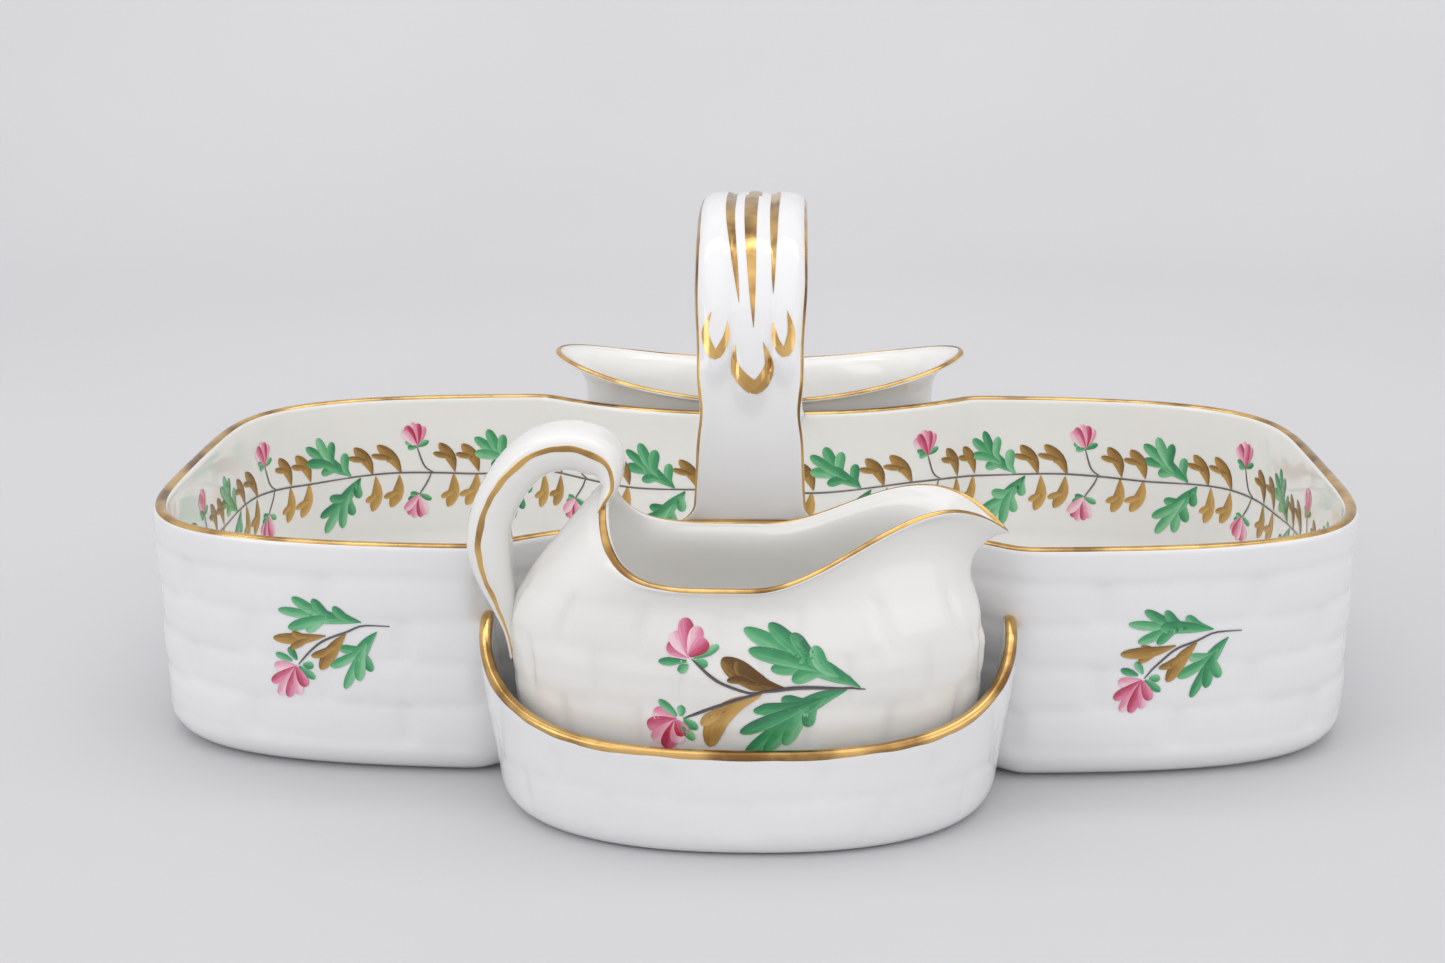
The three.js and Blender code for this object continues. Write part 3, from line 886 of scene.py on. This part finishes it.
def wander(count, size, seed):
    """A slow random wave that closes on itself, for the edges of a hand-banded line."""
    source = random.Random(seed)
    turn = np.linspace(0, 2 * math.pi, count, endpoint=False)
    waves = [(source.uniform(0.4, 1) / rank, source.uniform(0, 6.3), rank * 5) for rank in (1, 2, 3, 4)]
    return size * sum(height * np.sin(times * turn + start) for height, start, times in waves)


def surface_normals(grid, wrap):
    around = np.roll(grid, -1, axis=0) - np.roll(grid, 1, axis=0) if wrap else np.gradient(grid, axis=0)
    normals = np.cross(around, np.gradient(grid, axis=1))
    return normals / np.maximum(np.linalg.norm(normals, axis=2), 1e-9)[:, :, None]


def sample(rows, position):
    low = int(np.clip(math.floor(position), 0, len(rows) - 2))
    return mix(rows[low], rows[low + 1], position - low)


def gild(name, grid, low, high, wrap, steps=9, wave=0.25, seed=1):
    """A gold band on grid[station, profile point], between two places along the profile."""
    grid = np.asarray(grid, dtype=float)
    count = len(grid)
    lows = np.broadcast_to(low, count) + wander(count, wave, seed)
    highs = np.broadcast_to(high, count) + wander(count, wave, seed + 50)
    normals = surface_normals(grid, wrap)
    sections = []
    for points, across, start, end in zip(grid, normals, lows, highs):
        places = np.linspace(start, end, steps)
        band = np.array([sample(points, place) for place in places])
        out = np.array([sample(across, place) for place in places])
        if np.dot(out[steps // 2], band[steps // 2] - (band[0] + band[-1]) / 2) < 0:
            out = -out
        top = band + out * GOLD_LIFT
        top[0], top[-1] = band[0] - out[0] * 0.02, band[-1] - out[-1] * 0.02
        sections.append(np.vstack([top, (band - out * GOLD_DEPTH)[::-1]]))
    gold = raise_wall(name, sections, closed_on_itself=wrap)
    gold.data.materials.append(line_gold)
    return gold


def stations_of(rings):
    return np.transpose(np.array(rings), (1, 0, 2))


# %% Gold on the rims
# Each band lies between two rings of its wall, counted from where the rim starts and ends to curl over.
tray_gold = gild("tray_rim_gold", stations_of(tray_grid), tray_rim_start + 2.4, tray_rim_start + 9.6, True)
LIP_FROM_OUTSIDE = 0.7
LIP_TO_INSIDE = 3.2
jug_gold = gild("jug_rim_gold", stations_of(jug_rings), jug_lip_from + LIP_FROM_OUTSIDE,
                jug_lip_to - LIP_TO_INSIDE, True, seed=2)
bowl_gold = gild("bowl_rim_gold", stations_of(bowl_rings), bowl_lip_from + LIP_FROM_OUTSIDE,
                 bowl_lip_to - LIP_TO_INSIDE, True, seed=3)
blob = 2.0 * (np.abs(np.linspace(-1, 1, POCKET_STATIONS)) ** 18)
front_pocket_gold = gild("front_pocket_gold", pocket_sections, pocket_rim_from - 0.9 - blob,
                         pocket_rim_to - 0.5, False, steps=13, seed=4)
rear_pocket_gold = turned_copy(front_pocket_gold, "rear_pocket_gold")

# %% Gold on the handles' edges
jug_handle_gold = []
for side, (low, high) in {"near": (36.9, 39.1), "far": (8.9, 10.2)}.items():
    grow = 1.0 * (1 - smooth_step(0, 0.16, np.linspace(0, 1, JUG_HANDLE_STATIONS)))
    line = gild("jug_handle_gold_" + side, handle_rings, low - grow, high + grow, False, seed=5)
    jug_handle_gold.append(line)
arch_gold = []
for side, (low, high) in {"right": (12.6, 15.8), "left": (56.2, 59.4)}.items():
    arch_gold.append(gild("overhead_handle_gold_" + side, arch_rings, low, high, False, seed=6))


# %% [markdown]
# ## Painting
# Every leaf, petal and stem is one stroke of a loaded brush. A stroke is a small grid: its long direction
# follows a drawn line and its width swells and closes as the brush is pressed and lifted. The grid's UV map
# comes with the primitive, so streaks follow the stroke. An Array modifier repeats the grid once for each
# stroke in a colour, and then each copy is laid on the wall by shooting a ray at the finished porcelain.

# %% Reading the walls
def wall_tree(obj):
    points = [tuple(vertex.co / MM) for vertex in obj.data.vertices]
    return BVHTree.FromPolygons(points, [tuple(face.vertices) for face in obj.data.polygons])


def shoot(tree, start, direction):
    """The place and outward normal where a ray meets a wall, or of the nearest wall if it misses."""
    place, normal, _, _ = tree.ray_cast(Vector(start), Vector(direction).normalized())
    if place is None:
        place, normal, _, _ = tree.find_nearest(Vector(start) + Vector(direction))
    if normal.dot(Vector(direction)) > 0:
        normal = -normal
    return np.array(place), np.array(normal)


tray_tree, jug_tree, bowl_tree, arch_tree = [wall_tree(obj) for obj in (tray, jug, bowl, arch)]


FAR_OFF = 250  # where the rays start, well outside the set


def facing(tree, side, mirror=1):
    """A wall seen from the front (side -1) or the back (side 1): takes a length and a height."""
    def surface(x, z):
        return shoot(tree, (x * mirror, side * FAR_OFF, z), (0, -side, 0))
    return surface


CLEAR_OF_WALL = 14
inner_outline = shrink(outline, CLEAR_OF_WALL)


def inner_wall(along, z):
    place = (-along / PERIMETER * OUTLINE_POINTS) % OUTLINE_POINTS
    low = int(place)
    start = mix(inner_outline[low], inner_outline[(low + 1) % OUTLINE_POINTS], place - low)
    target = mix(outline[low], outline[(low + 1) % OUTLINE_POINTS], place - low)
    return shoot(tray_tree, (*start, z), (*(target - start), 0))


def arch_face(x, station):
    place = sample(arch_path, station)
    along = arch_along[int(station)]
    outward = np.array([0, -along[2], along[1]])
    return shoot(arch_tree, place + [x, 0, 0] + outward * 14, -outward)


# %% Brush strokes
PAINT_LIFT = 0.055
SPRAY_LIFT = 0.11  # higher than the garland's, because sprays cross the basketwork's seams
STEM_OVER = 0.05  # stems are painted last, over the gold leaves
PAINT_THICKNESS = 0.045
brush = random.Random(11)


def press(u, start, peak, tip):
    """The brush's width along a stroke: `start` wide at its root, widest at `peak`, closing at its tip."""
    if u < peak:
        return mix(start, 1, math.sin(u / peak * math.pi / 2))
    return max(0.05, (1 - ((u - peak) / (1 - peak)) ** 2) ** tip) if u < 1 else 0.05


def stroke(surface, line, width, tone=0.5, start=0.25, peak=0.62, tip=0.5):
    fine = smooth_line(line, 24)
    return {"surface": surface, "line": fine, "along": frames_along(fine), "width": width, "tone": tone,
            "press": lambda u: press(u, start, peak, tip)}


def stroke_point(item, u, v):
    u = mix(u, math.sin(u * math.pi / 2), 0.8)
    place = sample(item["line"], u * 23)
    along = sample(item["along"], u * 23)
    side = (v - 0.5) * item["width"] * item["press"](u)
    return item["surface"](place[0] - along[1] * side, place[1] + along[0] * side)


def paint(name, strokes, material, long_steps, cross_steps, lift_from=PAINT_LIFT):
    start_clean()
    bpy.ops.mesh.primitive_grid_add(x_subdivisions=long_steps, y_subdivisions=cross_steps, size=2)
    layer = bpy.context.object
    layer.name = name
    uvs = [((vertex.co.x + 1) / 2, (vertex.co.y + 1) / 2) for vertex in layer.data.vertices]
    apply_modifier(layer, "ARRAY", count=len(strokes), use_relative_offset=False, use_constant_offset=True,
                   constant_offset_displace=(3, 0, 0))
    points, tones = [], []
    for rank, item in enumerate(strokes):
        lift = lift_from + 0.007 * (rank % 6)
        for u, v in uvs:
            place, normal = stroke_point(item, u, v)
            points.append(place + normal * lift)
            tones.append(item["tone"])
    place_points(layer, points)
    layer.data.attributes.new("tone", "FLOAT", "POINT").data.foreach_set("value", tones)
    turn_layer_out(layer, strokes, len(uvs))
    apply_modifier(layer, "SOLIDIFY", thickness=PAINT_THICKNESS * MM, offset=1)
    start_clean()
    layer.select_set(True)
    bpy.ops.object.shade_smooth_by_angle(angle=math.radians(40))
    layer.data.materials.append(material)
    print(name, len(strokes), "strokes")
    return layer


def turn_layer_out(layer, strokes, per_stroke):
    """Flips every stroke whose faces look into the wall."""
    looks = [0.0] * len(strokes)
    normals = [item["surface"](*item["line"][12])[1] for item in strokes]
    for face in layer.data.polygons:
        rank = face.vertices[0] // per_stroke
        looks[rank] += face.area * face.normal.dot(Vector(normals[rank]))
    flip = [looks[face.vertices[0] // per_stroke] < 0 for face in layer.data.polygons]
    start_clean()
    bpy.context.view_layer.objects.active = layer
    bpy.ops.object.mode_set(mode="EDIT")
    bpy.ops.mesh.select_all(action="DESELECT")
    bpy.ops.object.mode_set(mode="OBJECT")
    for face, wrong in zip(layer.data.polygons, flip):
        face.select = wrong
    bpy.ops.object.mode_set(mode="EDIT")
    bpy.ops.mesh.select_mode(type="FACE")
    bpy.ops.mesh.flip_normals()
    bpy.ops.mesh.select_mode(type="VERT")
    bpy.ops.object.mode_set(mode="OBJECT")


# %% Leaves and flowers
def at(origin, points):
    return [(origin[0] + x, origin[1] + z) for x, z in points]


def leaf(surface, midrib, tips, width):
    """A lobed leaf: one broad stroke along the midrib, then one stroke for each lobe, rooted along it."""
    rib = smooth_line(midrib, 30)
    strokes = [stroke(surface, midrib, width * 1.1, 0.35, start=0.06, peak=0.75, tip=0.5)]
    for tip in tips:
        nearest = int(np.argmin(np.linalg.norm(rib - tip, axis=1)))
        root = max(0, min(nearest, 29) - 16)
        bend = max(1, min(nearest, 29) - 6)
        middle = mix(rib[bend], mix(rib[root], np.array(tip), 0.5), 0.45)
        line = [tuple(rib[root]), tuple(middle), tip]
        strokes.append(stroke(surface, line, width * brush.uniform(0.76, 0.92), brush.uniform(0.05, 0.95),
                              start=0.12, peak=0.74, tip=0.5))
    return strokes


def petals(surface, base, tips, width):
    strokes = []
    for rank, tip in enumerate(tips):
        bow = ((base[0] + tip[0]) / 2, (base[1] + tip[1]) / 2)
        tone = brush.uniform(-0.1, 0.2) if rank % 2 else brush.uniform(0.7, 1.0)
        strokes.append(stroke(surface, [base, bow, tip], width * brush.uniform(0.85, 1.05), tone,
                              start=0.25, peak=0.7, tip=0.42))
    return strokes


def fan(base, length, direction, spread, count):
    """Tips of strokes that fan out from one place; direction and spread in degrees."""
    turns = np.radians(direction + np.linspace(-spread, spread, count))
    reach = length * (1 - 0.12 * np.abs(np.linspace(-1, 1, count)))
    return [(base[0] + r * math.cos(t), base[1] + r * math.sin(t)) for r, t in zip(reach, turns)]


# %% Jug and bowl sprays
def vessel_spray(surface, x, z):
    o = (x, z)
    stems = [stroke(surface, at(o, [(26.1, 36.4), (12.2, 37.5), (2.7, 36.4)]), 0.9, 0.1, 0.3, 0.7, 0.3),
             stroke(surface, at(o, [(3.2, 36.5), (0.1, 36.8), (-5.9, 39.3), (-11.4, 43.9)]), 0.7, 0.1, 0.7),
             stroke(surface, at(o, [(4.5, 36.8), (-1.2, 35.1), (-6.5, 33), (-13.3, 30.1)]), 0.8, 0.1, 0.7)]
    upper_rib = at(o, [(25.1, 36.8), (18.8, 40.5), (12.2, 43.9)])
    upper_tips = at(o, [(-0.1, 50.4), (0.9, 46), (5.2, 51.3), (10.1, 49.1), (14.9, 46.5), (5.7, 41.9),
                        (10.3, 39.2)])
    lower_rib = at(o, [(22.1, 36.4), (17.2, 35.1), (10.6, 31.7)])
    lower_tips = at(o, [(8, 35.1), (2, 32.3), (-0.9, 27.2), (0.1, 21.8), (4.3, 22.5), (8.6, 24.2),
                        (13.6, 28.1)])
    greens = leaf(surface, upper_rib, upper_tips, 3.7) + leaf(surface, lower_rib, lower_tips, 3.7)
    first = at(o, [(-11.8, 44.5), (-16, 45.3), (-16.5, 47), (-15.4, 49.4), (-12.8, 52.6), (-9.8, 50.8),
                   (-8, 48)])
    second = at(o, [(-14.7, 29.6), (-19.8, 31.3), (-21.1, 27.9), (-19.8, 24.5), (-17, 22.8), (-14.4, 24.2),
                    (-12.8, 26.2)])
    pinks = petals(surface, first[0], first[1:], 3.5) + petals(surface, second[0], second[1:], 3.5)
    sepals = [[(-12.4, 43.3), (-18.5, 42.9)], [(-12.1, 42.6), (-14.2, 40.7)], [(-10.9, 44.1), (-5.4, 46.7)],
              [(-10.8, 43.4), (-7.8, 42.7)], [(-14.6, 30.6), (-18.5, 34.1)], [(-13.6, 30.6), (-13.7, 33)],
              [(-13.1, 30), (-10.1, 27.9)], [(-13.6, 28.6), (-10.9, 25.2)]]
    greens += [stroke(surface, at(o, line), 1.9, brush.uniform(0.2, 0.8)) for line in sepals]
    golds = [stroke(surface, at(o, [(8.8, 37.5), (4, 38.3), (0.2, 40.6), (-4.9, 43.9)]), 4.8, -0.3,
                    0.06, 0.66, 0.5),
             stroke(surface, at(o, [(3.6, 38.4), (-0.6, 41.6), (-1.6, 43.6)]), 2.6, -0.3),
             stroke(surface, at(o, [(3.6, 38), (-0.8, 39.6), (-3.7, 39.4)]), 2.0, -0.3),
             stroke(surface, at(o, [(3.7, 36), (-1.9, 33.7), (-5.9, 29.6), (-7.6, 23.8)]), 4.8, 0.95,
                    0.06, 0.66, 0.5),
             stroke(surface, at(o, [(-4.2, 32.2), (-7.4, 30.6), (-9.3, 28.9)]), 2.4, 0.95)]
    return stems, greens, pinks, golds


# %% Tray sprays
def tray_spray(surface, x, z):
    o = (x, z)
    stems = [stroke(surface, at(o, [(0, 0), (-6.5, -0.1), (-10.2, -1.7), (-16, -4.2), (-19.4, -7),
                                    (-22.7, -10.8)]), 0.55, 0.3, 0.4, 0.6, 0.3)]
    greens = leaf(surface, at(o, [(-6.8, 0.7), (-13, 1.4), (-19.4, 1.7)]),
                  at(o, [(-26.9, 2.7), (-23.3, 6), (-18.5, 5.8), (-13.4, 4.3), (-24.6, -1.7),
                         (-20.1, -2.2)]), 2.9)
    greens += leaf(surface, at(o, [(-3.1, -1.4), (-5.6, -4.3), (-8.4, -8.7)]),
                   at(o, [(-12.3, -6), (-14.7, -10.8), (-11.4, -15.9), (-7.9, -13.7), (-4.7, -11.3)]), 2.9)
    sepals = [[(-24.1, -9.9), (-28.2, -8.4)], [(-23, -9.6), (-24.8, -6.5)], [(-21.5, -10.6), (-18.9, -10.8)],
              [(-22.4, -11.1), (-18.7, -14)]]
    greens += [stroke(surface, at(o, line), 1.8, brush.uniform(0.2, 0.8)) for line in sepals]
    flower = at(o, [(-23.1, -11.3), (-28.7, -11.6), (-29.5, -15.7), (-27.9, -18.8), (-25.6, -19.2),
                    (-22.8, -18.3), (-21, -16.1)])
    golds = [stroke(surface, at(o, [(-15.5, -3), (-21.7, -4.1), (-28.5, -4.5)]), 2.8, 0.35, 0.1),
             stroke(surface, at(o, [(-19.5, -3.8), (-22, -3.4), (-23.8, -2.6)]), 1.7, 0.35),
             stroke(surface, at(o, [(-19.5, -4), (-22.5, -5.6), (-24.4, -6.8)]), 1.7, 0.35),
             stroke(surface, at(o, [(-10.6, -2.2), (-13.7, -6), (-17.3, -11.7)]), 3.2, 0.35, 0.1),
             stroke(surface, at(o, [(-13.4, -5.4), (-16.6, -7.4), (-19.3, -8.4)]), 1.9, 0.35)]
    return stems, greens, petals(surface, flower[0], flower[1:], 2.7), golds


# %% Garland
GARLAND_UNITS = 16
GARLAND_HEIGHT = 34.5
rear_start = int(np.argmin(np.linalg.norm(outline - [-70, TRAY_HALF_WIDTH], axis=1)))
GARLAND_START = -outline_along[rear_start]


def garland_unit(surface, x, z):
    """One repeat: two green leaves, eight gold leaves and two flowers on short branches."""
    o = (x, z)
    greens = leaf(surface, at(o, [(0, 0.4), (-4.6, 3.4), (-9, 6.6)]),
                  at(o, [(-14.4, 10.6), (-10.4, 13), (-5.6, 11.4), (-1.6, 7.6), (-14.4, 5.8),
                         (-9.6, 2)]), 3.5)
    greens += leaf(surface, at(o, [(3, -0.4), (-0.6, -4.4), (-4.4, -9)]),
                   at(o, [(-9.5, -16), (-10.8, -11.2), (-7.4, -5.8), (-3.8, -15.2), (0.2, -11.6),
                          (2.2, -6.6)]), 3.5)
    golds, stems, pinks = [], [], []
    for root, tip, tone in [((6.8, 0.2), (1.3, 8.9), 0.25), ((15.6, 0.2), (8.5, 9.2), 0.3),
                            ((31.8, 0.2), (27.3, 9.1), 0.25), ((39, 0.2), (34.1, 8.7), 0.3),
                            ((7.7, -0.2), (6.1, -11), 0.8), ((15, -0.2), (11.8, -10), 0.6),
                            ((31.4, -0.2), (29.3, -10.6), 0.7), ((38.5, -0.2), (34.8, -10.1), 0.8)]:
        bow = (mix(root[0], tip[0], 0.45) + 0.9, mix(root[1], tip[1], 0.5))
        golds.append(stroke(surface, at(o, [root, bow, tip]), 3.5, tone, 0.08, 0.6, 0.6))
        for out, back, width in [(-1.9, 3.0, 1.8), (2.6, 4.6, 1.7)]:
            side = (tip[0] + out, tip[1] - back * np.sign(tip[1]))
            golds.append(stroke(surface, at(o, [bow, side]), width, tone))
    for join, bend, base, away in [((25.6, 0), (22.6, 2.4), (20.6, 8.2), 1),
                                   ((24.6, 0), (23.4, -2.6), (20.8, -6.4), -1)]:
        stems.append(stroke(surface, at(o, [join, bend, base]), 0.5, 0.4, 0.7, 0.5, 0.3))
        bud = at(o, [base])[0]
        pinks += petals(surface, bud, fan(bud, 7.6, 100 if away > 0 else -104, 30, 5), 2.7)
        for turn, reach in [(25, 4.6), (155, 4.4), (185, 3.2)]:
            tip = fan(bud, reach, turn * away, 0, 1)[0]
            greens.append(stroke(surface, [bud, tip], 1.7, brush.uniform(0.2, 0.8)))
    return stems, greens, pinks, golds


def paint_all():
    """Draws every motif, then lays each surface's strokes in one layer for each colour."""
    layers = {"garland": [], "tray_spray": [], "jug_spray": [], "bowl_spray": []}
    step = PERIMETER / GARLAND_UNITS
    for unit in range(GARLAND_UNITS):
        x = GARLAND_START + unit * step
        layers["garland"].append(garland_unit(inner_wall, x, GARLAND_HEIGHT))
        wave = [(x + step * share, GARLAND_HEIGHT + rise) for share, rise in
                [(-0.02, 0), (0.25, 0.5), (0.5, 0.1), (0.75, -0.5), (1.02, 0)]]
        layers["garland"].append(([stroke(inner_wall, wave, 0.55, 0.45, 0.8, 0.5, 0.25)], [], [], []))
    for side in (-1, 1):
        wall = facing(tray_tree, side, -side)
        layers["tray_spray"].append(tray_spray(wall, -83.5, 37.6))
        layers["tray_spray"].append(tray_spray(wall, 114.7, 36.6))
        layers["jug_spray"].append(vessel_spray(facing(jug_tree, side), 0, 0))
        layers["bowl_spray"].append(vessel_spray(facing(bowl_tree, side, -side), 0, 0))
    return layers


SPRAY_GRID = (26, 5)  # steps along and across one stroke
GARLAND_GRID = (9, 3)
STEM_GRID = (26, 2)
PAINTS = [("stems", stem_enamel), ("greens", green_enamel), ("pinks", pink_enamel), ("golds", leaf_gold)]
painted = {}
for layer_name, motifs in paint_all().items():
    painted[layer_name] = []
    for place, (color_name, material) in enumerate(PAINTS):
        strokes = [item for motif in motifs for item in motif[place]]
        grid, lift = (SPRAY_GRID, SPRAY_LIFT) if "spray" in layer_name else (GARLAND_GRID, PAINT_LIFT)
        if color_name == "stems":
            grid, lift = STEM_GRID, lift + STEM_OVER
        painted[layer_name].append(paint(layer_name + "_" + color_name, strokes, material, *grid, lift))

# %% Gold drops and stripes on the overhead handle
def handle_gold():
    """Three long drops that run over the top of the handle and three crescents below them, on both sides."""
    def station_at(z):
        rising = arch_path[:ARCH_STATIONS // 2, 2]
        return float(np.interp(z, rising, np.arange(len(rising))))

    strokes = []
    middle = (ARCH_STATIONS - 1) / 2
    for face in (-1, 1):
        def surface(x, station, face=face):
            turned = ARCH_STATIONS - 1 - station if face > 0 else station
            return arch_face(x * -face, turned)
        for top_x, tip, width in [(-5.6, (-2.8, 106.4), 2.5), (-0.4, (0.7, 101.3), 3.4),
                                  (5.6, (5.4, 108.3), 2.4)]:
            line = [(top_x, middle + 0.5), (top_x * 0.95, mix(middle, station_at(tip[1]), 0.45)),
                    (tip[0], station_at(tip[1]))]
            strokes.append(stroke(surface, line, width, 0.6, 0.9, 0.05, 0.75))
        for crescent, width in [
                ([(-10.1, 104.4), (-11.6, 100.2), (-9, 95.4), (-6.3, 99.1), (-5.9, 102.8)], 2.2),
                ([(-3.8, 97.7), (-3.8, 92.8), (1.2, 88.6), (4.8, 93), (3.3, 98.2)], 3.2),
                ([(5.7, 102.5), (6.7, 98.2), (9, 96), (10.4, 100.2), (9.4, 104.7)], 2.2)]:
            line = [(0.93 * x, station_at(z)) for x, z in crescent]
            strokes.append(stroke(surface, line, width, 0.6, 0.05, 0.5, 1.0))
    return strokes


arch_drops = paint("overhead_handle_gold_drops", handle_gold(), line_gold, 30, 5)


# %% [markdown]
# ## Handing over
# Each piece rides on the body it belongs to: the tray, its pockets and the overhead handle stay, and the jug
# and the bowl lift out with their paint and gold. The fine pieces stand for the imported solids.

# %% Riding
RIDERS = {
    "basket": [tray, front_pocket, rear_pocket, arch, tray_gold, front_pocket_gold, rear_pocket_gold,
               *arch_gold, arch_drops, *painted["garland"], *painted["tray_spray"]],
    "jug": [jug, jug_handle, jug_gold, *jug_handle_gold, *painted["jug_spray"]],
    "bowl": [bowl, bowl_gold, *painted["bowl_spray"]],
}
for body, pieces in RIDERS.items():
    for piece in pieces:
        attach(piece, body)
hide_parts("basket_tray")
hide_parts("front_pocket")
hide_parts("rear_pocket")
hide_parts("overhead_handle")
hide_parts("jug_body")
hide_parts("jug_handle")
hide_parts("sugar_bowl")
